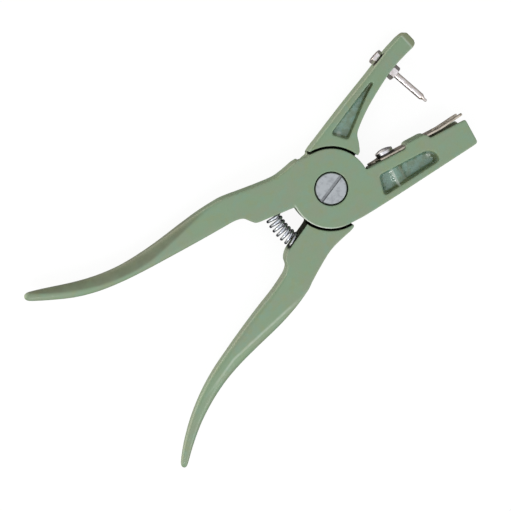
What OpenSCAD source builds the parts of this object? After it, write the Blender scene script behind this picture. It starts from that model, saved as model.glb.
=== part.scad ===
// Ear tag applicator plier: two cast levers half-lapped on a slotted pivot screw.
// The rear lever's jaw carries the needle, the front lever's jaw carries the forked tag clip,
// and a coil spring between the handles holds the jaws open.
// +Z runs along the pivot towards the screw head, +X along the tool towards the jaws, and the
// origin is on the pivot axis in the plane of the flat back faces.

/* [Levers] */
// Thickness across the two lapped levers
tool_t = 18; // [17:0.5:20]
// Radius of each lever's round lap
lap_r = 20.5; // [20:0.25:21]
// Gap between a lap and the shoulder around it
lap_gap = 1.2; // [0.8:0.1:1.4]
// Thickness of the wear washer between the laps
wear_washer_t = 0.55; // [0.4:0.05:0.8]
// Thickness of a handle at its grip
grip_t = 13.5; // [12:0.5:15]

/* [Pivot] */
// Diameter of the pivot screw's head
head_d = 16.5; // [15:0.5:17]
// Height of the pivot screw's head
head_h = 3.4; // [3:0.1:4]
// Diameter of the shoulder that the front lever turns on
shoulder_d = 9; // [8:0.5:10]
// Diameter of the pivot screw's threaded end
pivot_thread_d = 6; // [5:0.5:7]

/* [Clip jaw] */
// Angle of the clip jaw below the tool's long axis
clip_jaw_a = 15.4; // [15:0.1:16]
// Distance from the pivot to the end of the clip jaw
clip_jaw_len = 77.5; // [76.5:0.5:79]
// Width of the channel that takes the tag's button
channel_w = 11; // [10:0.5:12]
// Thickness of the clip plate
clip_t = 1; // [0.8:0.1:1]
// Width of the clip plate
clip_w = 13.6; // [12.5:0.1:14]
// Width of the slot between the clip's prongs
fork_slot_w = 6; // [5:0.5:7]
// Diameter of the clip screw's head
clip_head_d = 9.5; // [8:0.5:10]

/* [Needle] */
// Diameter of the needle
needle_d = 3.3; // [3:0.1:3.5]
// Length of needle past its collar
needle_len = 21.2; // [20:0.2:22]
// Lean of the needle from square across the tool
needle_a = 6.8; // [6:0.2:9]
// Size of the needle's nuts across flats
needle_nut_af = 7; // [7:0.5:8]

/* [Spring] */
// Diameter of the spring's wire
wire_d = 1.6; // [1.2:0.1:1.7]
// Outer diameter of the spring
spring_d = 8.6; // [8:0.1:8.7]
// Number of turns
turns = 9; // [8:1:10]

/* [Hidden] */
$fn = 64;

// Colours
paint = [0.53, 0.61, 0.50];
steel = [0.72, 0.73, 0.75];
dark_steel = [0.45, 0.44, 0.43];
plate_steel = [0.74, 0.70, 0.62];

// Shared planes and clearances
mid = tool_t / 2;
face_gap = 0.05;
lap_top = mid - wear_washer_t / 2;
front_lap = mid + wear_washer_t / 2 + face_gap;
recess_r = lap_r + lap_gap;
cut = 1;

// Pivot stack, from the back face up
nut_recess = 5.4;
nut_h = 3.2;
nut_af = 10;
lock_t = 1.4;
nut_recess_r = 8.6;
head_recess_r = head_d / 2 + 0.5;
head_sink = 0.2;
head_washer_t = 0.6;
head_bottom = tool_t - head_sink - head_h;
head_recess = tool_t - head_bottom + head_washer_t;
slot_w = 1.7;
slot_depth = 1.5;
slot_a = 10;
running = 0.05;

// Spring, bent round the pivot, and its seats
spring_r = 32.6;
seat_front_a = 162.7;
seat_rear_a = 192.4;
seat_depth = 4.2;
seat_depth_a = seat_depth / spring_r * 180 / PI;
seat_clear = 1.4;
seat_d = 10;
seat_reach = 4;
wire_sides = 8;
turn_steps = 16;

// Needle mounting on the rear lever's jaw
needle_at = [63.9, 22.9];
collar_h = 3.5;
jaw_w = 7.9;
needle_thread_d = 4;
needle_washer_d = 8.4;
needle_washer_t = 0.4;
needle_lock_t = 0.6;
needle_nut_h = 2.4;
thread_gap = 0.03;
spot_d = 9.2;
tip_d = 1.5;
tip_len = 2;
tip_cone = 1.6;

// Clip jaw, along its own axis x and across it y
jaw_face = 0.3;
clip_seat = 0.5;
channel_floor = -0.6;
channel_start = 58.5;
channel_depth = 10.4;
bridge_from = 43.8;
bridge_to = 56.1;
bridge_top = 2.5;
clip_screw_x = 33.4;
clip_thread_d = 5;
clip_boss_d = 8;
clip_from = 23;
clip_bend = 64;
fork_start = 60;
prong_rise = 1.4;
clip_washer_t = 0.4;
clip_lock_t = 0.6;
clip_head_h = 2.5;
pocket_depth = 6.4;
pocket_deep = 7.6;

// Share of a casting pocket's length and width that its draft takes off for each millimetre of depth
pocket_draft = [0.016, 0.02];

// Points and curves
function polar(r, a) = [r * cos(a), r * sin(a)];
function arc(c, r, from, to, n) = [for (i = [0:n]) c + polar(r, from + (to - from) * i / n)];
function blend(a, b, c, d, t) =
  (2 * b + (c - a) * t + (2 * a - 5 * b + 4 * c - d) * t * t + (3 * b - a - 3 * c + d) * t * t * t) / 2;
function spline(p, n) = concat(
  [for (i = [0:len(p) - 2], k = [0:n - 1])
    blend(p[max(i - 1, 0)], p[i], p[i + 1], p[min(i + 2, len(p) - 1)], k / n)],
  [p[len(p) - 1]]);
function side(a, b, way) =
  let (d = [b[0] - a[0], b[1] - a[1]], n = [-d[1], d[0]] / norm(d))
  [b[0], b[1]] + way * n * b[2] / 2;
function tail(list, from) = [for (i = [from:len(list) - 1]) list[i]];

// Handle stations from the tail to the hub: centre x, centre y, width, thickness, and the corner
// radius on the left and on the right of the way to the hub. The palm side is the rounder one.
front_handle = [
  [-152.4, 65.8, 1.6, 4, 0.7, 0.7],
  [-151.6, 65.3, 3.2, 7, 1.5, 1.5],
  [-150, 64.2, 4.4, 9, 2.1, 1.9],
  [-143, 59.3, 6, 10.5, 3.2, 2.2],
  [-132, 51.8, 7.4, 11.7, 4, 2.4],
  [-121, 45.9, 7.7, 12.6, 4.4, 2.4],
  [-109, 41.3, 7.7, grip_t, 4.4, 2.3],
  [-97, 38.1, 8.4, grip_t + 0.8, 4.2, 2.1],
  [-84, 35.4, 9.7, grip_t + 1.7, 3.6, 1.9],
  [-70.5, 33, 11.6, grip_t + 2.7, 2.8, 1.6],
  [-58, 30.7, 12.9, tool_t - 0.8, 1.8, 1.2],
  [-47, 28.3, 13, tool_t - 0.1, 0.6, 0.6]
];
rear_handle = [
  [-153.4, -54.9, 1.6, 4, 0.7, 0.7],
  [-152.6, -54.3, 3, 7, 1.4, 1.4],
  [-150.4, -52.7, 3.7, 9, 1.5, 1.9],
  [-143, -47.6, 4.7, 10.5, 1.6, 2.8],
  [-132, -41.4, 5.8, 11.7, 1.7, 3.8],
  [-120, -36.4, 7.1, 12.6, 1.8, 4.9],
  [-108, -32.9, 8.3, grip_t, 1.8, 5.8],
  [-96, -30.8, 9.7, grip_t + 0.8, 1.7, 6.5],
  [-83, -29.2, 11.8, grip_t + 1.7, 1.6, 6.6],
  [-68, -27.6, 13.9, grip_t + 2.8, 1.5, 5],
  [-56, -26, 14.2, tool_t - 0.9, 1.2, 2.8],
  [-46, -23.7, 14.1, tool_t - 0.1, 0.6, 0.8]
];
handle_steps = 3;
corner_steps = 4;
curve_steps = 4;

// Rounded rectangle with its own corner radius on each side
function section(w, t, r_left, r_right) = [for (q = [0:3], k = [0:corner_steps])
  let (a = 90 * q + 90 * k / corner_steps,
       left = q == 0 || q == 3,
       r = left ? r_left : r_right,
       cx = (left ? 1 : -1) * (w / 2 - r),
       cz = (q < 2 ? 1 : -1) * (t / 2 - r))
  [cx + r * cos(a), cz + r * sin(a)]];

// A closed skin over rings of points that each have the same count
module skin(rings) {
  m = len(rings[0]);
  last = len(rings) - 1;
  polyhedron(
    points = [for (ring = rings, p = ring) p],
    faces = concat(
      [[for (j = [0:m - 1]) j]],
      [for (i = [0:last - 1], j = [0:m - 1])
        [i * m + j, (i + 1) * m + j, (i + 1) * m + (j + 1) % m, i * m + (j + 1) % m]],
      [[for (j = [m - 1:-1:0]) last * m + j]]));
}

module handle(stations) {
  s = spline(stations, handle_steps);
  last = len(s) - 1;
  skin([for (i = [0:last])
    let (a = s[max(i - 1, 0)],
         b = s[min(i + 1, last)],
         d = [b[0] - a[0], b[1] - a[1]],
         n = [-d[1], d[0]] / norm(d))
    [for (p = section(s[i][2], s[i][3], s[i][4], s[i][5]))
      [s[i][0] + n[0] * p[0], s[i][1] + n[1] * p[0], mid + p[1]]]]);
}

// Washer with its underside at z = 0
module washer(outer_r, inner_r, t) {
  difference() {
    cylinder(r = outer_r, h = t);
    translate([0, 0, -cut]) cylinder(r = inner_r, h = t + 2 * cut);
  }
}

// Split spring washer
module lock_washer(outer_r, inner_r, t) {
  split = 0.9;
  difference() {
    washer(outer_r, inner_r, t);
    rotate([0, 0, 35])
      translate([0, -split / 2, -cut])
        cube([outer_r + cut, split, t + 2 * cut]);
  }
}

// Hexagon nut with both rims chamfered
module hex_nut(af, h, hole_r) {
  across = af / cos(30);
  rim = 0.35;
  difference() {
    intersection() {
      cylinder(d = across, h = h, $fn = 6);
      union() {
        cylinder(d1 = af, d2 = across + 0.1, h = rim);
        translate([0, 0, rim]) cylinder(d = across + 0.1, h = h - 2 * rim);
        translate([0, 0, h - rim]) cylinder(d1 = across + 0.1, d2 = af, h = rim);
      }
    }
    translate([0, 0, -cut]) cylinder(r = hole_r, h = h + 2 * cut);
  }
}

// Local frames
module in_clip_jaw() {
  rotate([0, 0, -clip_jaw_a]) children();
}
// z points out of the clip jaw's face, towards the needle
module on_clip_axis() {
  in_clip_jaw() translate([clip_screw_x, 0, mid]) rotate([-90, 0, 0]) children();
}
// z points along the needle, towards its point, from the jaw's inner edge
module on_needle_axis() {
  translate([needle_at[0], needle_at[1], mid])
    rotate([0, 0, needle_a])
      rotate([90, 0, 0])
        children();
}
// z points into a lever from its spring seat
module in_spring_seat(a, way) {
  rotate([0, 0, a]) translate([spring_r, 0, mid]) rotate([way * 90, 0, 0]) children();
}

// Front lever, seen along -Z: handle root, hub and clip jaw
module front_hub() {
  top = spline([
    side(front_handle[8], front_handle[10], 1),
    side(front_handle[10], front_handle[11], 1),
    [-34.6, 30.2], [-26, 26.7], [-17, 23.5], [-10, 22.8], [-4, 22.4], [1.5, 20.6]], curve_steps);
  lobe = spline([
    [-36.5, 11.8], [-39.9, 13.3], [-41.6, 16.2], [-43.4, 19.6],
    side(front_handle[10], front_handle[11], -1),
    side(front_handle[8], front_handle[10], -1)], curve_steps);
  polygon(concat(
    tail(top, curve_steps),
    [[5, 12], [-12, 2], [-20.1, 5.7]],
    [for (i = [0:len(lobe) - 1 - curve_steps]) lobe[i]]));
}

module clip_jaw_outline() {
  end_lean = 0.4;
  polygon([
    [0, -20.45], [8.2, -20.5], [15, -20.1], [29, -18.95],
    [clip_jaw_len - 0.7, -14.4], [clip_jaw_len + 0.1, -14], [clip_jaw_len + end_lean, -13.2],
    [clip_jaw_len, -0.9], [clip_jaw_len - 0.6, channel_floor],
    [bridge_to + 1, channel_floor], [bridge_to + 0.3, 1.4], [bridge_to - 0.4, 2],
    [bridge_to - 1.9, bridge_top], [bridge_from + 1.9, bridge_top], [bridge_from + 0.7, 2.1],
    [bridge_from, 1.5], [bridge_from, jaw_face], [0, jaw_face]
  ]);
}

// Drafted pocket cut down from z = 0, whose outline closes towards the middle as it gets deeper
module drafted(depth, middle) {
  overlap = 0.01;
  floor_share = [1 - pocket_draft[0] * depth, 1 - pocket_draft[1] * depth];
  translate([middle[0], middle[1], 0])
    mirror([0, 0, 1])
      linear_extrude(depth, scale = floor_share, slices = 1, segments = 1)
        translate(-middle) children();
  translate([0, 0, -overlap]) linear_extrude(cut) children();
}

// Casting pocket in the side of the clip jaw: a shallow and a deep part
module clip_jaw_pocket() {
  step_x = 37.6;
  ceiling = -5.3;
  end_r = 5.9;
  end_c = [50.6, ceiling - end_r];
  floor_a = [23.4, -16.1];
  floor_b = [54.6, -13.4];
  floor_step = floor_a + (floor_b - floor_a) * (step_x - floor_a[0]) / (floor_b[0] - floor_a[0]);
  middle = [40, -10.8];
  drafted(pocket_depth, middle)
    polygon([[step_x + 0.2, ceiling], [25.4, ceiling], [24.5, -6.4], floor_a + [-0.7, 1],
      floor_a + [0.3, 0], floor_step + [0.2, 0]]);
  drafted(pocket_deep, middle)
    polygon(concat([floor_b, floor_step, [step_x, ceiling]], arc(end_c, end_r, 90, -14, 8)));
}

module clip_jaw_cuts() {
  // the back edge of the jaw's face is cast lower, and its channel wall stops short of the end
  back_step = 1.1;
  back_short = 2.6;
  translate([recess_r - cut, jaw_face - back_step, -cut])
    cube([bridge_from - recess_r + cut, 10, cut + 4]);
  translate([clip_jaw_len - back_short, channel_floor - 2, -cut])
    cube([10, 10, mid + cut]);
  // open channel for the tag's button
  translate([channel_start, channel_floor - channel_depth, mid - channel_w / 2])
    cube([clip_jaw_len, channel_depth + 10, channel_w]);
  // slot under the bridge
  slot_gap = 0.08;
  translate([bridge_from - cut, clip_seat, mid - clip_w / 2 - slot_gap])
    cube([bridge_to - bridge_from + 3, clip_t + slot_gap, clip_w + 2 * slot_gap]);
}

module front_lever() {
  color(paint) difference() {
    union() {
      linear_extrude(tool_t) circle(r = lap_r);
      linear_extrude(tool_t) front_hub();
      linear_extrude(tool_t) rotate([0, 0, -clip_jaw_a]) clip_jaw_outline();
      handle(front_handle);
      // raised pad under the clip screw
      in_clip_jaw()
        translate([clip_screw_x - 5.5, 0, mid - clip_w / 2 + 0.5])
          cube([11, clip_seat, clip_w - 1]);
    }
    // room for the rear lever's lap
    translate([0, 0, -cut]) cylinder(r = recess_r, h = front_lap + cut, $fn = 128);
    // pivot bore and the head's counterbore
    cylinder(r = shoulder_d / 2 + running, h = tool_t + cut);
    translate([0, 0, tool_t - head_recess]) cylinder(r = head_recess_r, h = head_recess + cut);
    // spring seat
    in_spring_seat(seat_front_a, 1)
      translate([0, 0, -seat_reach]) cylinder(d = seat_d, h = seat_depth + seat_reach + seat_clear);
    in_clip_jaw() {
      difference() {
        union() {
          translate([0, 0, tool_t]) clip_jaw_pocket();
          mirror([0, 0, 1]) clip_jaw_pocket();
        }
        translate([clip_screw_x, 0, mid]) rotate([90, 0, 0]) cylinder(d = clip_boss_d, h = 25);
      }
      clip_jaw_cuts();
    }
    // threaded hole for the clip screw
    on_clip_axis()
      translate([0, 0, -14]) cylinder(d = clip_thread_d, h = 14 + clip_seat + cut);
  }
}

// Rear lever, seen along -Z: handle root, ear and needle jaw
module rear_hub() {
  inner = spline([
    [-34, -7.5], [-38.2, -8.7], [-41.8, -11.2], [-43.6, -14.6],
    side(rear_handle[10], rear_handle[11], 1),
    side(rear_handle[8], rear_handle[10], 1)], curve_steps);
  outer = spline([
    side(rear_handle[8], rear_handle[10], -1),
    side(rear_handle[10], rear_handle[11], -1),
    [-39, -28.5], [-29.7, -25.4], [-21.4, -23.2], [-14, -22.8], polar(24.1, -108), polar(23.3, -103)],
    curve_steps);
  polygon(concat(
    [[-10, 0], [-22, -5.05]],
    [for (i = [0:len(inner) - 1 - curve_steps]) inner[i]],
    tail(outer, curve_steps),
    [polar(22.7, -101), polar(22.1, -100.4), polar(21.3, -100.4), [0, -10]]));
}

module needle_jaw_outline() {
  outer = spline([
    polar(22, 79), [9.4, 22.7], [33, 26.7], [54, 29.8], [67, 32], [75.5, 32.8], [80.8, 32.75]],
    curve_steps);
  inner = spline([
    [79.8, 24.4], [74, 24.3], [67.3, 23.8], [57.8, 22.1], [42.4, 17.7], [31.8, 13.3], [28.4, 11],
    [26.6, 8], [24.2, 4.6]], curve_steps);
  polygon(concat(
    [[0, 10], polar(21.4, 80.5)],
    outer,
    [[81.9, 32.4], [82.3, 31.6], [82.4, 26.6], [81.6, 25.1]],
    inner,
    [[23.6, 3.8], [22.6, 3.4], [10, 0]]));
}

// Triangular casting pocket in the side of the needle jaw
module needle_jaw_pocket() {
  depth = 5;
  upper = spline([[19.7, 20.9], [33, 23.4], [44, 25.2], [51.6, 26.3]], curve_steps);
  lower = spline([[52.3, 25], [45, 22.3], [33.8, 17.2], [24, 12.7]], curve_steps);
  drafted(depth, [33, 19.8])
    polygon(concat(upper, [[52.4, 25.9]], lower, [[22.7, 13.2], [20.5, 17.3], [18.9, 19.9]]));
}

// Bevel across the front face at the tip of the needle jaw
module needle_jaw_bevel() {
  tip_x = 82.4;
  length = 3.4;
  drop = 1.5;
  rotate([90, 0, 0])
    translate([0, 0, -40])
      linear_extrude(40)
        polygon([[tip_x - length, tool_t], [tip_x + cut, tool_t - drop * (1 + cut / length)],
          [tip_x + cut, tool_t + cut], [tip_x - length, tool_t + cut]]);
}

module rear_lever() {
  color(paint) difference() {
    union() {
      linear_extrude(tool_t) circle(r = lap_r);
      linear_extrude(tool_t) rear_hub();
      linear_extrude(tool_t) needle_jaw_outline();
      handle(rear_handle);
    }
    // room for the front lever's lap
    translate([0, 0, lap_top]) cylinder(r = recess_r, h = tool_t, $fn = 128);
    // pivot bore and the nut's recess
    translate([0, 0, -cut]) cylinder(d = pivot_thread_d + 0.1, h = tool_t);
    translate([0, 0, -cut]) cylinder(r = nut_recess_r, h = nut_recess + cut);
    // spring seat
    in_spring_seat(seat_rear_a, -1)
      translate([0, 0, -seat_reach]) cylinder(d = seat_d, h = seat_depth + seat_reach + seat_clear);
    // casting pockets and bevelled tip on both sides
    translate([0, 0, tool_t]) needle_jaw_pocket();
    mirror([0, 0, 1]) needle_jaw_pocket();
    needle_jaw_bevel();
    translate([0, 0, tool_t]) mirror([0, 0, 1]) needle_jaw_bevel();
    // needle's hole, with a spot face at each end
    on_needle_axis() {
      translate([0, 0, -jaw_w - 6]) cylinder(d = needle_thread_d + 0.2, h = jaw_w + 12);
      cylinder(d = spot_d, h = 5);
      translate([0, 0, -jaw_w - 5]) cylinder(d = spot_d, h = 5);
    }
  }
}

module pivot_screw() {
  edge = 0.5;
  color(steel) difference() {
    union() {
      cylinder(d = pivot_thread_d, h = tool_t / 2);
      translate([0, 0, lap_top]) cylinder(d = shoulder_d, h = head_bottom - lap_top + cut);
      translate([0, 0, head_bottom]) cylinder(d = head_d, h = head_h - edge);
      translate([0, 0, head_bottom + head_h - edge])
        cylinder(d1 = head_d, d2 = head_d - 2 * edge, h = edge);
    }
    rotate([0, 0, slot_a])
      translate([-head_d, -slot_w / 2, head_bottom + head_h - slot_depth])
        cube([2 * head_d, slot_w, slot_depth + cut]);
    translate([0, 0, -cut]) cylinder(r = pivot_thread_d, h = cut + nut_recess - lock_t - nut_h - 0.4);
  }
}

module pivot_head_washer() {
  color(dark_steel)
    translate([0, 0, head_bottom - head_washer_t + face_gap])
      washer(head_recess_r - 0.3, shoulder_d / 2 + 0.1, head_washer_t - face_gap);
}

module pivot_wear_washer() {
  color(dark_steel)
    translate([0, 0, lap_top]) washer(lap_r - 2.5, shoulder_d / 2 + 0.1, wear_washer_t);
}

module pivot_lock_washer() {
  color(dark_steel)
    translate([0, 0, nut_recess - lock_t]) lock_washer(5.6, pivot_thread_d / 2 + 0.2, lock_t);
}

module pivot_nut() {
  color(steel)
    translate([0, 0, nut_recess - lock_t - nut_h])
      hex_nut(nut_af, nut_h, pivot_thread_d / 2 + thread_gap);
}

module handle_spring() {
  coil_r = (spring_d - wire_d) / 2;
  from_a = seat_front_a - seat_depth_a;
  to_a = seat_rear_a + seat_depth_a;
  steps = turns * turn_steps;
  color(steel)
    skin([for (i = [0:steps])
      let (a = from_a + (to_a - from_a) * i / steps,
           w = -360 * i / turn_steps,
           d = [cos(a), sin(a), 0],
           t = [-sin(a), cos(a), 0],
           out = d * cos(w) + [0, 0, 1] * sin(w),
           c = d * spring_r + [0, 0, mid] + coil_r * out)
      [for (j = [0:wire_sides - 1])
        let (b = 360 * (j + 0.5) / wire_sides)
        c + wire_d / 2 * (out * cos(b) + t * sin(b))]]);
}

module needle() {
  shank = jaw_w + needle_washer_t + needle_lock_t + needle_nut_h - 0.3;
  body = collar_h + needle_len - tip_len - tip_cone;
  color(steel) on_needle_axis() {
    translate([0, 0, -shank]) cylinder(d = needle_thread_d, h = shank + collar_h);
    cylinder(d = needle_d, h = body);
    translate([0, 0, body]) cylinder(d1 = needle_d, d2 = tip_d, h = tip_cone);
    translate([0, 0, body + tip_cone]) cylinder(d = tip_d, h = tip_len - 0.4);
    translate([0, 0, body + tip_cone + tip_len - 0.4]) cylinder(d1 = tip_d, d2 = 0.8, h = 0.4);
  }
}

module needle_collar() {
  color(steel) on_needle_axis() hex_nut(needle_nut_af, collar_h, needle_thread_d / 2 + thread_gap);
}

module needle_plain_washer() {
  color(dark_steel) on_needle_axis()
    translate([0, 0, -jaw_w - needle_washer_t])
      washer(needle_washer_d / 2, needle_thread_d / 2 + 0.1, needle_washer_t);
}

module needle_lock_washer() {
  color(dark_steel) on_needle_axis()
    translate([0, 0, -jaw_w - needle_washer_t - needle_lock_t])
      lock_washer(3.3, needle_thread_d / 2 + 0.1, needle_lock_t);
}

module needle_nut() {
  color(steel) on_needle_axis()
    translate([0, 0, -jaw_w - needle_washer_t - needle_lock_t - needle_nut_h])
      hex_nut(needle_nut_af, needle_nut_h, needle_thread_d / 2 + thread_gap);
}

module clip_plate() {
  half = clip_w / 2;
  corner = 1.4;
  // the back prong is a little shorter than the front one
  near_end = clip_jaw_len;
  far_end = clip_jaw_len - 1.2;
  profile = [
    [clip_from, clip_seat], [clip_bend, clip_seat],
    [clip_jaw_len, clip_seat + prong_rise], [clip_jaw_len, clip_seat + prong_rise + clip_t],
    [clip_bend, clip_seat + clip_t], [clip_from, clip_seat + clip_t]
  ];
  plan = [
    [clip_from, -1.8], [27, -3.4], [29.5, -half],
    [far_end - corner, -half], [far_end, -half + corner], [far_end, 0],
    [near_end, 0], [near_end, half - corner], [near_end - corner, half],
    [29.5, half], [27, 3.4], [clip_from, 1.8]
  ];
  color(plate_steel) difference() {
    in_clip_jaw() intersection() {
      linear_extrude(tool_t) polygon(profile);
      translate([0, 5, mid]) rotate([90, 0, 0]) linear_extrude(10) polygon(plan);
    }
    in_clip_jaw() translate([fork_start + fork_slot_w / 2, 5, mid]) rotate([90, 0, 0])
      linear_extrude(10) {
        circle(d = fork_slot_w);
        translate([0, -fork_slot_w / 2]) square([30, fork_slot_w]);
      }
    on_clip_axis() cylinder(d = clip_thread_d + 0.3, h = 5);
  }
}

module clip_plain_washer() {
  color(dark_steel) on_clip_axis()
    translate([0, 0, clip_seat + clip_t])
      washer(clip_head_d / 2 + 0.5, clip_thread_d / 2 + 0.15, clip_washer_t);
}

module clip_lock_washer() {
  color(dark_steel) on_clip_axis()
    translate([0, 0, clip_seat + clip_t + clip_washer_t])
      lock_washer(clip_head_d / 2 - 0.2, clip_thread_d / 2 + 0.15, clip_lock_t);
}

module clip_screw() {
  bottom = clip_seat + clip_t + clip_washer_t + clip_lock_t;
  dome_r = 11;
  thread_len = 12;
  slot = 1.2;
  color(steel) on_clip_axis() difference() {
    union() {
      translate([0, 0, bottom - thread_len])
        cylinder(d = clip_thread_d - 0.04, h = thread_len + clip_head_h / 2);
      intersection() {
        translate([0, 0, bottom]) cylinder(d = clip_head_d, h = clip_head_h);
        translate([0, 0, bottom + clip_head_h - dome_r]) sphere(r = dome_r, $fn = 96);
      }
    }
    rotate([0, 0, 25]) translate([-clip_head_d, -slot / 2, bottom + clip_head_h - 1])
      cube([2 * clip_head_d, slot, 2]);
  }
}

front_lever();
rear_lever();
pivot_screw();
pivot_head_washer();
pivot_wear_washer();
pivot_lock_washer();
pivot_nut();
handle_spring();
needle();
needle_collar();
needle_plain_washer();
needle_lock_washer();
needle_nut();
clip_plate();
clip_plain_washer();
clip_lock_washer();
clip_screw();
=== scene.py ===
"""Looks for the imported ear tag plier: painted cast levers, steel fittings and a bent coil spring."""
import math

import bmesh
import bpy
import numpy as np
from mathutils import Matrix, Vector

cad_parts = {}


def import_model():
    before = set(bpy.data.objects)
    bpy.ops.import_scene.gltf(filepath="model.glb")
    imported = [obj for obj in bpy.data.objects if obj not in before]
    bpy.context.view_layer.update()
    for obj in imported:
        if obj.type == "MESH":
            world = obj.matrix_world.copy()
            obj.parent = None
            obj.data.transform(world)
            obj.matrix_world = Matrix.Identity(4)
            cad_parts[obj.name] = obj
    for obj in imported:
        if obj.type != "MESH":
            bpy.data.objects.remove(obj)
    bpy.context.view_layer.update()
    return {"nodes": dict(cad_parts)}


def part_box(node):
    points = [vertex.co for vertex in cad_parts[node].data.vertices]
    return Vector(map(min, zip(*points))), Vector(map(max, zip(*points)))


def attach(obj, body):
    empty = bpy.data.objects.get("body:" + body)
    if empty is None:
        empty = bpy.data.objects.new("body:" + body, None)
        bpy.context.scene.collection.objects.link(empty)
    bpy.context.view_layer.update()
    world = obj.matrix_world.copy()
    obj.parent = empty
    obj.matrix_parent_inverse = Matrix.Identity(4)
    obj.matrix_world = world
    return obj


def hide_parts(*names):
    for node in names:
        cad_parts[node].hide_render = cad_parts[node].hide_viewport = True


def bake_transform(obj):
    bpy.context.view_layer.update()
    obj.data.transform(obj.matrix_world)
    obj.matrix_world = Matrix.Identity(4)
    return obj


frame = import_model()

MM = 0.001
FRONT = "front_lever_group"
REAR = "rear_lever_group"
TOOL_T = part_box("front_lever")[1].z
MID_Z = TOOL_T / 2

# Camera: the angle that the tool is seen at
VIEW_TURN = math.radians(43)
VIEW_TILT = math.radians(7.8)
VIEW_AIM = Vector((-51.5, 1.5, 18)) * MM
VIEW_WIDTH = 260.6 * MM
VIEW_DISTANCE = 1.2
SENSOR_W = 36


# ---------------------------------------------------------------- mesh tools

# Edge radius at and under which the edge mask, for worn paint and painted edge highlights, is full
EDGE_WEAR_AND_HIGHLIGHT_R = 0.5 * MM
FLAT_ANGLE = math.radians(1)
SHARP_ANGLE = math.radians(28)


def read_mesh(mesh):
    """Vertex positions, edges and vertex normals of a mesh as arrays."""
    co = np.empty(len(mesh.vertices) * 3)
    mesh.vertices.foreach_get("co", co)
    ends = np.empty(len(mesh.edges) * 2, int)
    mesh.edges.foreach_get("vertices", ends)
    normals = np.empty(len(mesh.vertices) * 3)
    mesh.vertices.foreach_get("normal", normals)
    return co.reshape(-1, 3), ends.reshape(-1, 2), normals.reshape(-1, 3)


def neighbour_mean(values, ends):
    """Mean of the neighbours' values at each vertex."""
    count = np.bincount(ends.ravel(), minlength=len(values))
    total = np.empty_like(values)
    for k in range(values.shape[1]):
        total[:, k] = np.bincount(ends[:, 0], values[ends[:, 1], k], len(values))
        total[:, k] += np.bincount(ends[:, 1], values[ends[:, 0], k], len(values))
    return total / np.maximum(count, 1)[:, None]


def relax(co, ends, rounds):
    """Moves each vertex towards its neighbours, as many times as its own number of rounds."""
    for k in range(int(rounds.max())):
        share = 0.5 * np.clip(rounds - k, 0, 1)[:, None]
        co = co + share * (neighbour_mean(co, ends) - co)
    return co


def set_points(mesh, co):
    mesh.vertices.foreach_set("co", co.ravel())
    mesh.update()


def shade_smooth(mesh):
    mesh.polygons.foreach_set("use_smooth", np.ones(len(mesh.polygons), bool))
    mesh.update()


def apply_modifiers(obj):
    graph = bpy.context.evaluated_depsgraph_get()
    mesh = bpy.data.meshes.new_from_object(obj.evaluated_get(graph))
    obj.modifiers.clear()
    old = obj.data
    obj.data = mesh
    bpy.data.meshes.remove(old)


def new_object(name, mesh):
    obj = bpy.data.objects.new(name, mesh)
    bpy.context.scene.collection.objects.link(obj)
    return obj


def store(mesh, name, values):
    attribute = mesh.attributes.new(name, "FLOAT", "POINT")
    attribute.data.foreach_set("value", np.clip(values, 0, 1).astype(np.float32))


def store_edge_wear_and_highlight(mesh, radius):
    """Stores how sharply convex the surface is at each vertex, for wear and painted edge highlights: 1 where
    its edge radius is this or less.
    """
    co, ends, normals = read_mesh(mesh)
    lengths = np.linalg.norm(co[ends[:, 0]] - co[ends[:, 1]], axis=1)
    bend = ((co - neighbour_mean(co, ends)) * normals).sum(axis=1)[:, None] / lengths.mean() ** 2
    for _ in range(2):
        bend = neighbour_mean(bend, ends)
    store(mesh, "edge_wear_and_highlight", bend[:, 0] * 4 * radius)


def stand_in(obj, node, body, material):
    """Makes an object stand for a CAD node, on its body and with its finish."""
    obj.data.materials.clear()
    obj.data.materials.append(material)
    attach(obj, body)
    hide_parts(node)


def casting(node, voxel, rounds, form, masks, body, material):
    """A CAD node rebuilt as an even mesh with edges rounded as a casting's are, then formed and marked.

    The rounds, form and masks are functions of its points, and its faces stay between the two flat faces.
    """
    obj = new_object(node + "_casting", frame["nodes"][node].data.copy())
    remesh = obj.modifiers.new("remesh", "REMESH")
    remesh.mode = "VOXEL"
    remesh.voxel_size = voxel
    apply_modifiers(obj)
    co, ends, _ = read_mesh(obj.data)
    co = form(relax(co, ends, rounds(co)))
    co[:, 2] = np.clip(co[:, 2], 0, TOOL_T)
    set_points(obj.data, co)
    shade_smooth(obj.data)
    store_edge_wear_and_highlight(obj.data, EDGE_WEAR_AND_HIGHLIGHT_R)
    co, _, normals = read_mesh(obj.data)
    for name, values in masks(co, normals).items():
        store(obj.data, name, values)
    stand_in(obj, node, body, material)


def fitting(node, edge, body, material):
    """A CAD node copied with its sharp edges rounded by a small radius."""
    mesh = frame["nodes"][node].data.copy()
    work = bmesh.new()
    work.from_mesh(mesh)
    bmesh.ops.remove_doubles(work, verts=work.verts, dist=1e-6)
    bmesh.ops.dissolve_limit(work, angle_limit=FLAT_ANGLE, verts=work.verts, edges=work.edges)
    sharp = [e for e in work.edges if e.is_manifold and e.calc_face_angle() > SHARP_ANGLE]
    bmesh.ops.bevel(
        work, geom=sharp, offset=edge, segments=3, profile=0.5, affect="EDGES", clamp_overlap=True)
    bmesh.ops.triangulate(work, faces=[f for f in work.faces if len(f.verts) > 4])
    work.to_mesh(mesh)
    work.free()
    obj = new_object(node + "_finished", mesh)
    shade_smooth(mesh)
    normal = obj.modifiers.new("normal", "WEIGHTED_NORMAL")
    normal.weight = 90
    apply_modifiers(obj)
    stand_in(obj, node, body, material)


# ---------------------------------------------------------------- materials

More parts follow.
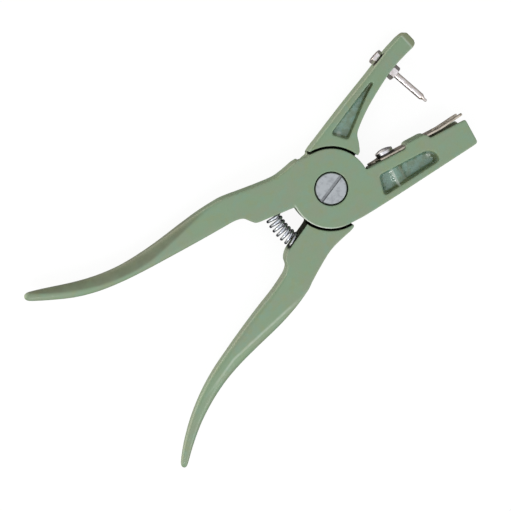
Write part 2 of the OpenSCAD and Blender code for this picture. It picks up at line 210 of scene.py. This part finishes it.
class Nodes:
    """A material's node tree, with short calls for the nodes that the materials here use."""

    def __init__(self, name):
        self.material = bpy.data.materials.new(name)
        self.material.use_nodes = True
        self.tree = self.material.node_tree
        self.shader = self.tree.nodes["Principled BSDF"]
        self.place = self.add("ShaderNodeTexCoord").outputs["Object"]

    def add(self, kind, **settings):
        node = self.tree.nodes.new(kind)
        for key, value in settings.items():
            setattr(node, key, value)
        return node

    def link(self, value, socket):
        if isinstance(value, bpy.types.NodeSocket):
            self.tree.links.new(value, socket)
        else:
            socket.default_value = value

    def noise(self, size, detail=3.0, rough=0.5, stretch=(1, 1, 1)):
        """Noise from 0 to 1 whose features are about size metres."""
        scaled = self.add("ShaderNodeMapping")
        scaled.inputs["Scale"].default_value = [s / size for s in stretch]
        self.link(self.place, scaled.inputs["Vector"])
        node = self.add("ShaderNodeTexNoise")
        self.link(scaled.outputs["Vector"], node.inputs["Vector"])
        node.inputs["Scale"].default_value = 1.0
        node.inputs["Detail"].default_value = detail
        node.inputs["Roughness"].default_value = rough
        return node.outputs["Fac"]

    def attribute(self, name):
        return self.add("ShaderNodeAttribute", attribute_name=name).outputs["Fac"]

    def range(self, value, low, high, to_low=0.0, to_high=1.0):
        node = self.add("ShaderNodeMapRange", interpolation_type="SMOOTHSTEP")
        self.link(value, node.inputs["Value"])
        for key, number in (("From Min", low), ("From Max", high), ("To Min", to_low), ("To Max", to_high)):
            node.inputs[key].default_value = number
        return node.outputs["Result"]

    def math(self, operation, a, b=0.0, c=0.0):
        node = self.add("ShaderNodeMath", operation=operation)
        for socket, value in zip(node.inputs, (a, b, c)):
            self.link(value, socket)
        return node.outputs[0]

    def mix(self, factor, a, b):
        """Colours a and b mixed by a factor from 0 to 1."""
        node = self.add("ShaderNodeMix", data_type="RGBA", clamp_factor=True)
        self.link(factor, node.inputs["Factor"])
        self.link((*a, 1) if isinstance(a, tuple) else a, node.inputs[6])
        self.link((*b, 1) if isinstance(b, tuple) else b, node.inputs[7])
        return node.outputs[2]

    def shade(self, reach, only_local=True):
        """How open the surface is to what lies within a distance: 1 on a flat face, less in a corner."""
        node = self.add("ShaderNodeAmbientOcclusion", only_local=only_local, samples=8)
        node.inputs["Distance"].default_value = reach
        return node.outputs["AO"]

    def bump(self, *layers):
        """Bumps from (height, depth in metres) pairs, one after another."""
        normal = None
        for height, depth in layers:
            node = self.add("ShaderNodeBump")
            node.inputs["Strength"].default_value = 1.0
            node.inputs["Distance"].default_value = depth
            self.link(height, node.inputs["Height"])
            if normal is not None:
                self.link(normal, node.inputs["Normal"])
            normal = node.outputs["Normal"]
        self.link(normal, self.shader.inputs["Normal"])
        self.link(normal, self.shader.inputs["Coat Normal"])

    def set(self, **sockets):
        for key, value in sockets.items():
            socket = self.shader.inputs[key.replace("_", " ")]
            self.link((*value, 1) if isinstance(value, tuple) else value, socket)
        return self.material


# Paint colours
SAGE = (0.184, 0.276, 0.170)
WARM_SAGE = (0.204, 0.262, 0.172)
TEAL = (0.172, 0.282, 0.200)
OLIVE = (0.210, 0.260, 0.132)
THIN_POOL = (0.168, 0.262, 0.172)
THICK_POOL = (0.190, 0.330, 0.262)
# Thin paint on edges, lighter, which also serves as a painted edge highlight
THIN_PAINT_AND_HIGHLIGHT = (0.330, 0.385, 0.300)
# A painted highlight
HIGHLIGHT_TINT = (0.640, 0.700, 0.620)
# Painted shade on the paint, grease with painted shade, and the metal that shows through it
POCKET_SHADE = (0.128, 0.140, 0.048)
CHANNEL_SHADE = (0.055, 0.055, 0.018)
OLIVE_SHADE = (0.200, 0.205, 0.110)
PALM_SHADE = (0.102, 0.106, 0.060)
GREASE_AND_SHADE = (0.014, 0.018, 0.010)
CHIPPED_METAL = (0.45, 0.45, 0.43)
# Painted shade on bare metal, and painted shade and dark reflection on the spring's wire
METAL_SHADE = (0.035, 0.032, 0.030)
WIRE_SHADE = (0.020, 0.022, 0.030)


def green_paint():
    """Sage green enamel on a casting: mottled, thin and lit on edges, glossy in pockets, greased in gaps,
    with painted shade and highlights.
    """
    n = Nodes("green_paint")
    patches = n.range(n.noise(13 * MM, 4), 0.36, 0.64)
    colour = n.mix(patches, SAGE, WARM_SAGE)
    teal = n.range(n.noise(5 * MM, 3), 0.48, 0.68, 0.0, 0.55)
    colour = n.mix(teal, colour, TEAL)
    olive = n.range(n.noise(4 * MM, 4), 0.52, 0.70, 0.0, 0.50)
    colour = n.mix(olive, colour, OLIVE)
    pocket = n.attribute("pocket")
    thick = n.range(n.noise(3.5 * MM, 3), 0.38, 0.60)
    colour = n.mix(pocket, colour, n.mix(thick, THIN_POOL, THICK_POOL))
    # Painted shade: darker in corners, by how closed in the surface is, and on pocket walls that face away
    # from the light
    corner = n.range(n.shade(2.6 * MM), 0.25, 0.80, 1.0, 0.0)
    corner_shade = n.math("MULTIPLY", corner, n.range(n.noise(4 * MM), 0.25, 0.55, 0.45, 1.0))
    wall = n.math("MULTIPLY", n.attribute("wall"), n.range(n.noise(3 * MM), 0.30, 0.60, 0.60, 0.95))
    colour = n.mix(n.math("MAXIMUM", n.math("MULTIPLY", corner_shade, 0.85), wall), colour, POCKET_SHADE)
    # Painted shadow in the channel under the clip plate
    colour = n.mix(n.math("MULTIPLY", n.attribute("dirt"), 0.9), colour, CHANNEL_SHADE)
    # Thin paint on edges, lighter, also a painted highlight along them; chips show metal on the sharpest
    edge = n.attribute("edge_wear_and_highlight")
    thin_and_highlight = n.math("MULTIPLY", n.range(edge, 0.20, 0.75), n.range(n.noise(7 * MM, 4), 0.30, 0.62, 0.15, 0.60))
    colour = n.mix(thin_and_highlight, colour, THIN_PAINT_AND_HIGHLIGHT)
    # Painted shade, olive: at the foot of the pocket's boss and on the needle jaw's bevel
    colour = n.mix(n.attribute("olive"), colour, OLIVE_SHADE)
    # Painted shade along the front handle's palm side, past its crease
    palm = n.math("MULTIPLY", n.attribute("palm"), n.range(n.noise(6 * MM, 3), 0.3, 0.65, 0.50, 0.66))
    colour = n.mix(palm, colour, PALM_SHADE)
    # Painted highlights on the front lap's edge, the pocket's boss and round end, the rear handle's crease,
    # the needle jaw's bevel edge and pocket
    rub = n.math("MULTIPLY", n.attribute("rub"), n.range(n.noise(3 * MM, 4), 0.25, 0.60, 0.55, 1.0))
    colour = n.mix(rub, colour, HIGHLIGHT_TINT)
    chip = n.math("MULTIPLY", n.range(edge, 0.60, 0.85), n.range(n.noise(1.6 * MM, 5, 0.62), 0.66, 0.72))
    colour = n.mix(chip, colour, CHIPPED_METAL)
    # Black grease and painted shade in the gaps round the laps and the screw head, and on the rear lever's
    # side by the spring
    grease = n.math("MULTIPLY", n.attribute("grease"), n.range(n.noise(2 * MM), 0.2, 0.5, 0.85, 1.0))
    colour = n.mix(grease, colour, GREASE_AND_SHADE)
    rough = n.range(n.noise(2.2 * MM, 4), 0.3, 0.7, 0.36, 0.50)
    rough = n.math("SUBTRACT", rough, n.math("MULTIPLY", pocket, 0.24))
    rough = n.math("MAXIMUM", rough, n.math("MULTIPLY", grease, 0.9))
    paint_gloss = n.math("SUBTRACT", n.math("MULTIPLY_ADD", pocket, 0.7, 0.15), grease)
    specular = n.math("MULTIPLY_ADD", grease, -0.45, 0.5)
    runs = n.math("MULTIPLY", n.noise(2.2 * MM, 2), pocket)
    n.bump((n.noise(9 * MM, 2), 0.22 * MM), (n.noise(0.8 * MM, 2), 0.020 * MM),
           (n.noise(2.6 * MM, 3), 0.045 * MM), (runs, 0.55 * MM))
    return n.set(Base_Color=colour, Roughness=rough, Metallic=n.math("MULTIPLY", chip, 0.85), IOR=1.48,
                 Coat_Weight=paint_gloss, Coat_Roughness=0.10, Specular_IOR_Level=specular)


def metal(name, base, stain, rough, stretch=(1, 1, 1), grain=0.5 * MM, grain_depth=0.006 * MM,
          waves=0.03 * MM, shaded_turns=False):
    """Bare metal with stains, fine scratches, shallow waves, duller patches and painted shade in its
    corners.

    One with shaded turns is painted dark and dull, as shade and dark reflection, where its mesh's attribute
    for it says.
    """
    n = Nodes(name)
    blotch = n.range(n.noise(2.4 * MM, 5, 0.6), 0.42, 0.66)
    colour = n.mix(blotch, base, stain)
    # Painted shade: darker in corners, by how closed in the surface is, also by other parts near it
    dirt = n.range(n.shade(2 * MM, False), 0.20, 0.85, 1.0, 0.0)
    colour = n.mix(n.math("MULTIPLY", dirt, 0.7), colour, METAL_SHADE)
    lines = n.noise(grain, 4, 0.6, stretch)
    spread = n.range(n.noise(1.5 * MM, 4), 0.3, 0.7, rough, rough + 0.14)
    n.bump((lines, grain_depth), (n.noise(3 * MM, 3), waves))
    if shaded_turns:
        # Painted shade and dark reflection on the spring's turns and back half
        wire_shade = n.attribute("wire_shade")
        colour = n.mix(wire_shade, colour, WIRE_SHADE)
        spread = n.math("MULTIPLY_ADD", wire_shade, 0.35, spread)
        n.set(Metallic=n.math("SUBTRACT", 1.0, wire_shade),
              Specular_IOR_Level=n.math("MULTIPLY_ADD", wire_shade, -0.45, 0.5))
    else:
        n.set(Metallic=1.0)
    return n.set(Base_Color=colour, Roughness=spread)


# ---------------------------------------------------------------- levers

VOXEL = 0.45 * MM
HANDLE_FROM_X = -45 * MM
HANDLE_BLEND = 14 * MM
HEAD_RECESS_R = 8.75 * MM
LAP_R = 20.5 * MM
LAP_GAP = 1.2 * MM
# Where the laps have no gap outside them, in degrees round the pivot: middle and half of each range
OPEN_SIDES = ((103, 23), (177, 12))
# The side of the rear lever by the spring's seat, black with grease and painted shadow
SPRING_SIDE = np.array((-27, -6.5)) * MM
SPRING_SIDE_R = 11 * MM
# Where the front lap's edge gets a painted highlight: the angles round the pivot where it starts and ends
RIM_HIGHLIGHT_START = (158, 170)
RIM_HIGHLIGHT_END = (215, 265)
# How many times the mesh is relaxed, so how round its edges get
EDGE_ROUNDS = 7
HANDLE_ROUNDS = 8
POCKET_ROUNDS = 12
HEAD_ROUNDS = 2
RIM_ROUNDS = 4
OUTER_EDGE_ROUNDS = 26
TIP_ROUNDS = 5
# Each jaw's casting pocket as a box along the jaw: centre, angle in degrees, half length and half width
CLIP_POCKET = ((35.7, -21.1), -15.4, 18.2, 6.4)
NEEDLE_POCKET = ((35.5, 19.6), 15, 18.5, 6)
# The needle jaw's outer edge is more rounded than the rest: a line y = at + slope x
OUTER_EDGE_FROM_X = 10 * MM
OUTER_EDGE_AT = 21.4 * MM
OUTER_EDGE_SLOPE = 0.155
# The channel under the clip, along the clip jaw
CHANNEL_FROM_X = 58 * MM
CHANNEL_W = 11 * MM
# The screw's boss across the pocket, along the clip jaw: its side with a painted highlight and its foot with
# painted shade
BOSS_LINE_X = 32.3 * MM
BOSS_FOOT_X = 37 * MM
# A painted highlight at the pocket's round end, along and across the clip jaw
END_SPOT = (53 * MM, -8.7 * MM)
# The crease along each handle: a line along X that turns with the handle further out. Each handle gets
# thinner by the slope from its crease to its palm side.
CREASE_R = 0.5 * MM
REAR_CREASE_Y = -30.5 * MM
REAR_CREASE_FROM_X = -48 * MM
REAR_CREASE_BEND_X = -96 * MM
REAR_CREASE_END_X = -124 * MM
REAR_CREASE_TURN = 0.2
REAR_CREASE_SLOPE = 0.14
FRONT_CREASE_Y = 35.3 * MM
FRONT_CREASE_FROM_X = -46 * MM
FRONT_CREASE_BEND_X = -85 * MM
FRONT_CREASE_BEND_R = 68 * MM
FRONT_CREASE_SLOPE = 0.2
CREASE_FADE = 25 * MM
# The needle jaw ends in a bevel, painted olive as shade, whose top edge, with a painted highlight, is across
# the jaw here
TIP_FROM_X = 76 * MM
BEVEL_X = 79.0 * MM
# A painted highlight at the wide end of the needle jaw's pocket
POCKET_SPOT = np.array((22.1, 17.6)) * MM


def smooth_step(value, low, high):
    """0 below low, 1 above high, and smooth between them."""
    t = np.clip((value - low) / (high - low), 0, 1)
    return t * t * (3 - 2 * t)


def near(distance, full, none):
    """1 up to the first distance from a place, 0 past the second, and smooth between them."""
    return 1 - smooth_step(np.abs(distance), full, none)


def polar(co):
    """Each point's distance from the pivot's axis, and its angle round it in degrees from 0 to 360."""
    return np.hypot(co[:, 0], co[:, 1]), np.degrees(np.arctan2(co[:, 1], co[:, 0])) % 360


def depth_in(co):
    """How far each point is below the nearer of the two flat faces."""
    return np.minimum(co[:, 2], TOOL_T - co[:, 2])


def turned(values, angle):
    """Points or directions along and across a line at an angle in degrees."""
    turn = math.radians(angle)
    along = values[:, 0] * math.cos(turn) + values[:, 1] * math.sin(turn)
    across = values[:, 1] * math.cos(turn) - values[:, 0] * math.sin(turn)
    return along, across


def in_pocket(co, box):
    """1 at points in a casting pocket's box, 0 elsewhere."""
    centre, angle, half_length, half_width = box
    along, across = turned(co[:, :2] - np.array(centre) * MM, angle)
    return (np.abs(along) < half_length * MM) & (np.abs(across) < half_width * MM)


def rounds_for(co, pocket_box):
    """How much each point of a lever is rounded.

    That is more on the handles and deep in the pockets, and little round the pivot's machined faces.
    """
    rounds = np.full(len(co), float(EDGE_ROUNDS))
    rounds += np.clip((HANDLE_FROM_X - co[:, 0]) / HANDLE_BLEND, 0, 1) * HANDLE_ROUNDS
    rounds += in_pocket(co, pocket_box) * smooth_step(depth_in(co), 1.2 * MM, 3.2 * MM) * POCKET_ROUNDS
    radius = polar(co)[0]
    rounds[radius < HEAD_RECESS_R + 3 * MM] = HEAD_ROUNDS
    rim = np.abs(radius - LAP_R - LAP_GAP / 2) < 2.5 * MM
    rounds[rim] = np.minimum(rounds[rim], RIM_ROUNDS)
    return rounds


def front_rounds(co):
    """How much each point of the front lever is rounded."""
    return rounds_for(co, CLIP_POCKET)


def from_outer_edge(co):
    """How far each point is inside the needle jaw's outer edge."""
    return OUTER_EDGE_AT + OUTER_EDGE_SLOPE * co[:, 0] - co[:, 1]


def rear_rounds(co):
    """How much each point of the rear lever is rounded: most on its jaw's outer edge, little at its tip."""
    rounds = rounds_for(co, NEEDLE_POCKET)
    rounds[(co[:, 0] > OUTER_EDGE_FROM_X) & (from_outer_edge(co) < 2.2 * MM)] = OUTER_EDGE_ROUNDS
    rounds[co[:, 0] > TIP_FROM_X] = TIP_ROUNDS
    return rounds


def lap_grease_and_shade(co):
    """Black grease and painted shade in the gap round a lap and in the gap round the pivot screw's head."""
    radius, angle = polar(co)
    gap = near(radius - LAP_R - LAP_GAP / 2, LAP_GAP / 2, LAP_GAP / 2 + 0.4 * MM)
    for middle, half in OPEN_SIDES:
        gap *= np.abs(angle - middle) > half
    head = near(radius - HEAD_RECESS_R, 0.1 * MM, 0.5 * MM)
    return np.maximum(gap, head) * smooth_step(depth_in(co), 0.6 * MM, 1.2 * MM)


def front_crease(co):
    """How far each point is past the crease along the front handle, towards its palm side."""
    out = np.maximum(FRONT_CREASE_BEND_X - co[:, 0], 0)
    return co[:, 1] - FRONT_CREASE_Y - out ** 2 / (2 * FRONT_CREASE_BEND_R)


def rear_crease(co):
    """How far each point is past the crease along the rear handle, towards its palm side."""
    line = REAR_CREASE_Y - REAR_CREASE_TURN * np.maximum(REAR_CREASE_BEND_X - co[:, 0], 0)
    return line - co[:, 1]


def front_crease_share(co):
    """How much of the front handle's crease there is at each point: it fades in along the handle."""
    return smooth_step(FRONT_CREASE_FROM_X - co[:, 0], 0, CREASE_FADE)


def rear_crease_share(co):
    """How much of the rear handle's crease there is at each point: it fades out at both ends."""
    rise = smooth_step(REAR_CREASE_FROM_X - co[:, 0], 0, 12 * MM)
    return rise * smooth_step(co[:, 0] - REAR_CREASE_END_X, 0, CREASE_FADE)


def thin_past(co, past, slope, share):
    """Makes a handle thinner from its crease on."""
    thinner = slope * share * (past + np.hypot(past, CREASE_R)) / 2
    co[:, 2] = MID_Z + (co[:, 2] - MID_Z) * (1 - thinner / MID_Z)
    return co


def front_form(co):
    """The front handle, thinner past its crease."""
    return thin_past(co, front_crease(co), FRONT_CREASE_SLOPE, front_crease_share(co))


def rear_form(co):
    """The rear handle, thinner past its crease."""
    return thin_past(co, rear_crease(co), REAR_CREASE_SLOPE, rear_crease_share(co))


def pocket_masks(co, normals, box):
    """The floor of a casting pocket, and its walls that face away from the light, for painted shade, without
    the jaw's own flanks, which face outwards.
    """
    across = turned(co[:, :2] - np.array(box[0]) * MM, box[1])[1]
    outwards = across * turned(normals, box[1])[1]
    share = in_pocket(co, box) * (1 - smooth_step(outwards, 0.8 * MM, 2.0 * MM))
    inside = share * smooth_step(depth_in(co), 0.5 * MM, 2.0 * MM)
    wall = share * smooth_step(depth_in(co), 0.3 * MM, 1.0 * MM)
    wall *= smooth_step(normals[:, 1], -0.6, 0.1) * near(normals[:, 2], 0.55, 0.95)
    return np.array((inside, wall))


def rim_highlight(co):
    """Where the edge of the front lap gets a painted highlight."""
    radius, angle = polar(co)
    rim = near(radius - LAP_R + 0.1 * MM, 0.2 * MM, 0.55 * MM)
    rim *= smooth_step(angle, *RIM_HIGHLIGHT_START) * near(angle, *RIM_HIGHLIGHT_END)
    return rim * (co[:, 2] > TOOL_T - 0.9 * MM)


def channel_shade(co, normals):
    """The walls and floor of the channel under the clip, which get a painted shadow, without the jaw's own
    flank and end.
    """
    along, across = turned(co, CLIP_POCKET[1])
    n_along, n_across = turned(normals, CLIP_POCKET[1])
    channel = (along > CHANNEL_FROM_X) & (across < 0.9 * MM)
    channel &= np.abs(co[:, 2] - MID_Z) < CHANNEL_W / 2 + 0.5 * MM
    channel &= (n_across > -0.3) & (n_along < 0.7)
    return channel * 1.0


def front_masks(co, normals):
    """Marks on the front lever: painted highlights, painted shade in the channel, in the pocket and on the
    palm side, and grease with painted shade in its gaps.
    """
    pocket, wall = pocket_masks(co, normals, CLIP_POCKET)
    along, across = turned(co, CLIP_POCKET[1])
    boss = near(along - BOSS_LINE_X, 0.3 * MM, 0.9 * MM) * pocket
    foot = near(along - BOSS_FOOT_X, 0.4 * MM, 1.2 * MM) * pocket
    end = near(np.hypot(along - END_SPOT[0], across - END_SPOT[1]), 0.3 * MM, 1.8 * MM)
    rub = np.maximum(rim_highlight(co), np.maximum(boss * 0.65, end * pocket * 0.75))
    palm = smooth_step(front_crease(co), -0.6 * MM, 1.0 * MM) * front_crease_share(co)
    return {"grease": lap_grease_and_shade(co), "pocket": pocket, "wall": wall, "rub": rub,
            "dirt": channel_shade(co, normals), "olive": foot * 0.5, "palm": palm}


def side_grease_and_shade(co, normals):
    """Grease and painted shadow on the rear lever's side at the spring's seat."""
    away = np.linalg.norm(co[:, :2] - SPRING_SIDE, axis=1)
    return near(away, SPRING_SIDE_R - 2 * MM, SPRING_SIDE_R) * near(normals[:, 2], 0.3, 0.8)


def rear_masks(co, normals):
    """Marks on the rear lever: grease with painted shade, painted highlights on its crease, its bevel and
    its pocket, and painted olive shade on its tip.
    """
    pocket, wall = pocket_masks(co, normals, NEEDLE_POCKET) * (from_outer_edge(co) > 1.2 * MM)
    tip = smooth_step(co[:, 0], BEVEL_X - 0.2 * MM, BEVEL_X + 0.5 * MM) * 0.6
    bevel = near(co[:, 0] - BEVEL_X, 0.2 * MM, 0.7 * MM) * (co[:, 2] > TOOL_T - 1.2 * MM) * 0.3
    crease = near(rear_crease(co), 0.2 * MM, 0.9 * MM) * rear_crease_share(co)
    crease *= smooth_step(normals[:, 2], 0.6, 0.9) * 0.3
    spot = near(np.linalg.norm(co[:, :2] - POCKET_SPOT, axis=1), 0.4 * MM, 1.8 * MM)
    rub = np.maximum(np.maximum(bevel, crease), spot * pocket * 0.5)
    return {"grease": np.maximum(lap_grease_and_shade(co), side_grease_and_shade(co, normals)), "pocket": pocket, "wall": wall,
            "rub": rub, "olive": tip}


paint = green_paint()
casting("front_lever", VOXEL, front_rounds, front_form, front_masks, FRONT, paint)
casting("rear_lever", VOXEL, rear_rounds, rear_form, rear_masks, REAR, paint)


# ---------------------------------------------------------------- fittings

zinc = metal("zinc_steel", (0.43, 0.455, 0.475), (0.33, 0.35, 0.37), 0.30)
polished = metal("polished_steel", (0.74, 0.70, 0.71), (0.58, 0.52, 0.50), 0.17, (1, 0.2, 1), 0.3 * MM,
                 0.003 * MM, 0.006 * MM)
bright = metal("clip_screw_steel", (0.74, 0.73, 0.78), (0.50, 0.48, 0.48), 0.22)
dark = metal("dark_steel", (0.16, 0.15, 0.14), (0.09, 0.08, 0.07), 0.38)
sheet_steel = metal("clip_steel", (0.60, 0.54, 0.46), (0.42, 0.37, 0.30), 0.26)
spring_metal = metal("spring_steel", (0.70, 0.73, 0.80), (0.52, 0.53, 0.58), 0.24, shaded_turns=True)

# Each fitting's CAD node, edge radius in mm, body, material and slot
for node, edge, body, material, slot in (
    ("pivot_screw", 0.15, REAR, zinc, "zinc_steel"),
    ("pivot_head_washer", 0.06, REAR, dark, "dark_steel"),
    ("pivot_wear_washer", 0.06, REAR, dark, "dark_steel"),
    ("pivot_lock_washer", 0.12, REAR, dark, "dark_steel"),
    ("pivot_nut", 0.12, REAR, zinc, "zinc_steel"),
    ("needle", 0.08, REAR, polished, "polished_steel"),
    ("needle_collar", 0.14, REAR, polished, "polished_steel"),
    ("needle_nut", 0.14, REAR, polished, "polished_steel"),
    ("needle_plain_washer", 0.06, REAR, dark, "dark_steel"),
    ("needle_lock_washer", 0.08, REAR, dark, "dark_steel"),
    ("clip_plate", 0.12, FRONT, sheet_steel, "clip_steel"),
    ("clip_screw", 0.14, FRONT, bright, "zinc_steel"),
    ("clip_plain_washer", 0.06, FRONT, dark, "dark_steel"),
    ("clip_lock_washer", 0.08, FRONT, dark, "dark_steel"),
):
    fitting(node, edge * MM, body, material)


# ---------------------------------------------------------------- spring

SPRING_R = 32.6 * MM
SPRING_D = 8.6 * MM
WIRE_D = 1.6 * MM
WIRE_R = WIRE_D / 2
COIL_R = (SPRING_D - WIRE_D) / 2
TURNS = 9
RINGS_PER_TURN = 48
WIRE_SIDES = 16
# How far each end stays off the floor of its seat
END_GAP = 0.9 * MM


def wire_shade_at(w):
    """How much painted shade and dark reflection the wire gets at an angle round its coil: most on its
    turns' outer and inner sides, some on its back half.
    """
    outer_turn = smooth_step(math.cos(w), 0.60, 0.88)
    inner_turn = smooth_step(-math.cos(w), 0.86, 0.98)
    back_half = smooth_step(-math.sin(w), -0.2, 0.4) * 0.2
    return max(outer_turn, inner_turn, back_half)


def spring():
    """The handle spring: a helix round an arc about the pivot, bent between the two levers."""
    co = read_mesh(frame["nodes"]["handle_spring"].data)[0]
    angles = np.degrees(np.arctan2(co[:, 1], co[:, 0])) % 360
    inset = math.degrees((END_GAP + WIRE_R) / SPRING_R)
    first = math.radians(angles.min() + inset)
    last = math.radians(angles.max() - inset)
    rings = RINGS_PER_TURN * TURNS
    turns, outs, line = [], [], []
    for i in range(rings + 1):
        a = first + (last - first) * i / rings
        w = -2 * math.pi * TURNS * i / rings
        arc = Vector((math.cos(a), math.sin(a), 0))
        out = arc * math.cos(w) + Vector((0, 0, math.sin(w)))
        turns.append(w)
        outs.append(out)
        line.append(arc * SPRING_R + Vector((0, 0, MID_Z)) + COIL_R * out)
    points, faces, wire_shade = [], [], []
    for i, (w, out, c) in enumerate(zip(turns, outs, line)):
        ahead = (line[min(i + 1, rings)] - line[max(i - 1, 0)]).normalized()
        out = (out - ahead * out.dot(ahead)).normalized()
        side = ahead.cross(out)
        # Painted shade and dark reflection, most on the turns' outer and inner sides and some on the back
        # half
        wire_shade += [wire_shade_at(w)] * WIRE_SIDES
        for j in range(WIRE_SIDES):
            b = 2 * math.pi * j / WIRE_SIDES
            points.append(c + WIRE_R * (out * math.cos(b) + side * math.sin(b)))
    for start in range(0, rings * WIRE_SIDES, WIRE_SIDES):
        for j in range(WIRE_SIDES):
            k = (j + 1) % WIRE_SIDES
            faces.append((start + j, start + WIRE_SIDES + j, start + WIRE_SIDES + k, start + k))
    faces.append(tuple(range(WIRE_SIDES)))
    faces.append(tuple(reversed(range(rings * WIRE_SIDES, (rings + 1) * WIRE_SIDES))))
    mesh = bpy.data.meshes.new("handle_spring_wire")
    mesh.from_pydata(points, [], faces)
    shade_smooth(mesh)
    store(mesh, "wire_shade", np.array(wire_shade))
    obj = new_object("handle_spring_wire", mesh)
    mesh.materials.append(spring_metal)
    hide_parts("handle_spring")
    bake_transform(obj)


spring()


# ---------------------------------------------------------------- stage

FLOOR_W = 6.0
FLOOR_GAP = 0.2 * MM
# The floor's own light, and how much of its look it is
FLOOR_GLOW = 1.04
FLOOR_GLOW_SHARE = 0.88
# Room light from straight below to straight above: height as a share, and colour
ROOM_BELOW = (0.07, 0.07, 0.08)
ROOM_SIDES = ((0.30, (0.24, 0.23, 0.22)), (0.50, (0.62, 0.58, 0.50)), (0.70, (0.66, 0.66, 0.64)))
ROOM_ABOVE = (0.76, 0.77, 0.79)
# Brighter parts of the room: direction, cosine of the angle to their edge, and added colour
ROOM_GLOWS = (
    ((-0.12, -0.75, 0.65), 0.3, (0.40, 0.40, 0.40)),
    ((-0.50, 0.80, -0.42), 0.50, (2.00, 1.86, 1.64)),
)
# Lights: name, direction from the tool's middle, distance and size in metres, and watts
LIGHTS = (
    ("window", (-0.70, -0.15, 0.70), 0.9, 0.18, 1.4),
    ("lamp", (-0.52, -0.12, 0.85), 0.9, 0.10, 0.35),
    ("low_front", (0.25, -0.93, 0.32), 1.0, 0.5, 2),
)


def stage():
    """A plain white floor. It only shows to the camera, so that it doesn't light the tool from below."""
    half = FLOOR_W / 2
    mesh = bpy.data.meshes.new("floor")
    corners = [(-half, -half, 0), (half, -half, 0), (half, half, 0), (-half, half, 0)]
    mesh.from_pydata(corners, [], [(0, 1, 2, 3)])
    floor = new_object("floor", mesh)
    floor.location.z = -FLOOR_GAP
    floor.visible_diffuse = False
    floor.visible_glossy = False
    floor.visible_shadow = False
    n = Nodes("floor")
    glow = n.add("ShaderNodeEmission")
    glow.inputs["Strength"].default_value = FLOOR_GLOW
    dull = n.add("ShaderNodeBsdfDiffuse")
    dull.inputs["Color"].default_value = (0.9, 0.9, 0.9, 1)
    both = n.add("ShaderNodeMixShader")
    both.inputs["Fac"].default_value = FLOOR_GLOW_SHARE
    n.link(dull.outputs[0], both.inputs[1])
    n.link(glow.outputs[0], both.inputs[2])
    n.link(both.outputs[0], n.tree.nodes["Material Output"].inputs["Surface"])
    mesh.materials.append(n.material)


def world():
    """Soft room light: pale above, warm along the horizon and dark below, with two brighter parts."""
    w = bpy.data.worlds.new("studio")
    bpy.context.scene.world = w
    w.use_nodes = True
    nodes, links = w.node_tree.nodes, w.node_tree.links
    place = nodes.new("ShaderNodeTexCoord").outputs["Generated"]
    height = nodes.new("ShaderNodeSeparateXYZ")
    links.new(place, height.inputs[0])
    share = nodes.new("ShaderNodeMapRange")
    share.inputs["From Min"].default_value = -1
    links.new(height.outputs["Z"], share.inputs["Value"])
    ramp = nodes.new("ShaderNodeValToRGB")
    links.new(share.outputs[0], ramp.inputs["Fac"])
    stops = ramp.color_ramp.elements
    stops[0].color = (*ROOM_BELOW, 1)
    stops[1].color = (*ROOM_ABOVE, 1)
    for position, colour in ROOM_SIDES:
        stops.new(position).color = (*colour, 1)
    light = ramp.outputs["Color"]
    for direction, edge, colour in ROOM_GLOWS:
        towards = nodes.new("ShaderNodeVectorMath")
        towards.operation = "DOT_PRODUCT"
        towards.inputs[1].default_value = Vector(direction).normalized()
        links.new(place, towards.inputs[0])
        lobe = nodes.new("ShaderNodeMapRange")
        lobe.interpolation_type = "SMOOTHSTEP"
        lobe.inputs["From Min"].default_value = edge
        links.new(towards.outputs["Value"], lobe.inputs["Value"])
        both = nodes.new("ShaderNodeVectorMath")
        both.operation = "MULTIPLY_ADD"
        links.new(lobe.outputs[0], both.inputs[0])
        both.inputs[1].default_value = colour
        links.new(light, both.inputs[2])
        light = both.outputs[0]
    links.new(light, nodes["Background"].inputs["Color"])


def area_light(name, direction, distance, size, power):
    """A soft square light that points at the tool's middle from a direction."""
    light = bpy.data.lights.new(name, "AREA")
    light.shape = "SQUARE"
    light.size = size
    light.energy = power
    obj = bpy.data.objects.new(name, light)
    bpy.context.scene.collection.objects.link(obj)
    to = Vector(direction).normalized()
    obj.location = to * distance + Vector((VIEW_AIM.x, VIEW_AIM.y, 0))
    obj.rotation_mode = "QUATERNION"
    obj.rotation_quaternion = to.to_track_quat("Z", "Y")


def camera():
    """A camera on the tool's middle, turned and tilted to its angle, as wide as the view."""
    data = bpy.data.cameras.new("camera")
    obj = bpy.data.objects.new("camera", data)
    bpy.context.scene.collection.objects.link(obj)
    across = Vector((0, math.cos(VIEW_TILT), -math.sin(VIEW_TILT)))
    along = Vector((1, 0, 0))
    right = along * math.cos(VIEW_TURN) - across * math.sin(VIEW_TURN)
    up = along * math.sin(VIEW_TURN) + across * math.cos(VIEW_TURN)
    back = right.cross(up)
    turn = Matrix((right, up, back)).transposed()
    obj.matrix_world = Matrix.Translation(VIEW_AIM + back * VIEW_DISTANCE) @ turn.to_4x4()
    data.sensor_width = SENSOR_W
    data.lens = data.sensor_width * VIEW_DISTANCE / VIEW_WIDTH
    data.clip_start = 0.01
    data.clip_end = 20
    bpy.context.scene.camera = obj


stage()
world()
camera()
for light in LIGHTS:
    area_light(*light)
bpy.context.scene.view_settings.view_transform = "Standard"
